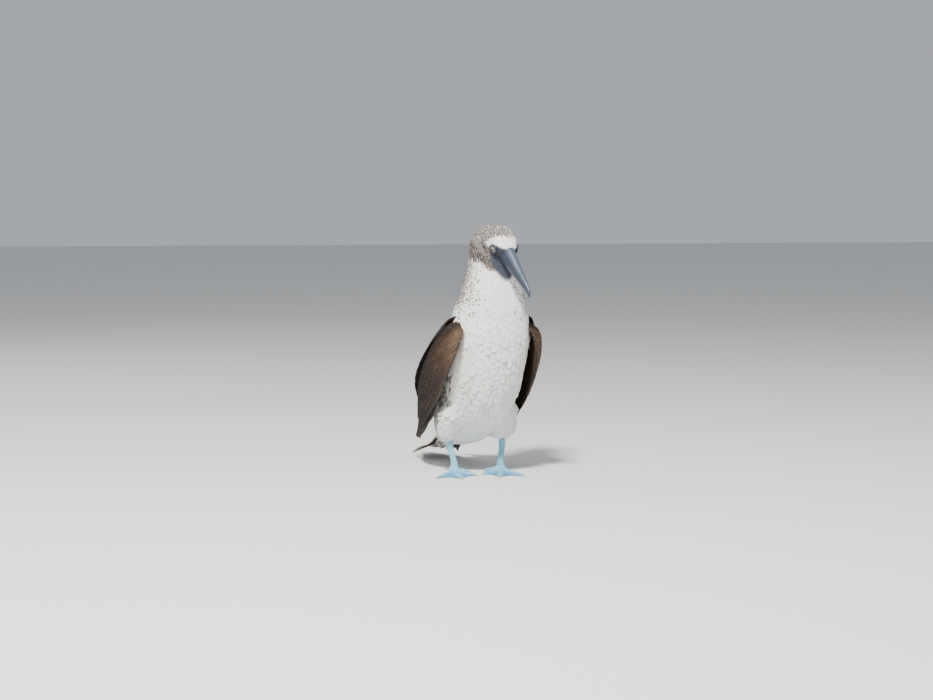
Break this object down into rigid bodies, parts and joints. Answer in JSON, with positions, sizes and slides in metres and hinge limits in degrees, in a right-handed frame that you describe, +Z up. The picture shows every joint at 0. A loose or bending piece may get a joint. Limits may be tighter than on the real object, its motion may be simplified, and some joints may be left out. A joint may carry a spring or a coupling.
{
  "type": "blue-footed booby",
  "caption": "Life-size still model of a blue-footed booby standing upright on webbed feet, bill held low, wings folded.",
  "frame": {"origin": "middle of the whole bird's footprint, on the floor under its feet", "axes": "+Z up, -Y the way the bird looks, -X its right side"},
  "size_m": [0.205, 0.4562, 0.4358],
  "materials": {
    "plumage_white": "soft white feathers",
    "plumage_speckled": "white feathers streaked with brown",
    "wing_brown": "dark brown feathers",
    "tail_brown": "brown feathers",
    "bill_slate": "horny, slate blue-grey",
    "foot_blue": "scaly blue skin",
    "claw_grey": "smooth pale horn",
    "eye_yellow": "wet, glossy"
  },
  "bodies": {
    "root": {"torso": "plumage_white", "neck": "plumage_speckled", "head": "plumage_speckled", "bill_upper": "bill_slate", "bill_lower": "bill_slate", "tail": "tail_brown", "eye_right": "eye_yellow", "wing_right": "wing_brown", "thigh_right": "plumage_white", "tarsus_right": "foot_blue", "foot_right": "foot_blue", "claw_hind_right": "claw_grey", "claw_inner_right": "claw_grey", "claw_middle_right": "claw_grey", "claw_outer_right": "claw_grey", "eye_left": "eye_yellow", "wing_left": "wing_brown", "thigh_left": "plumage_white", "tarsus_left": "foot_blue", "foot_left": "foot_blue", "claw_hind_left": "claw_grey", "claw_inner_left": "claw_grey", "claw_middle_left": "claw_grey", "claw_outer_left": "claw_grey"}
  },
  "joints": []
}
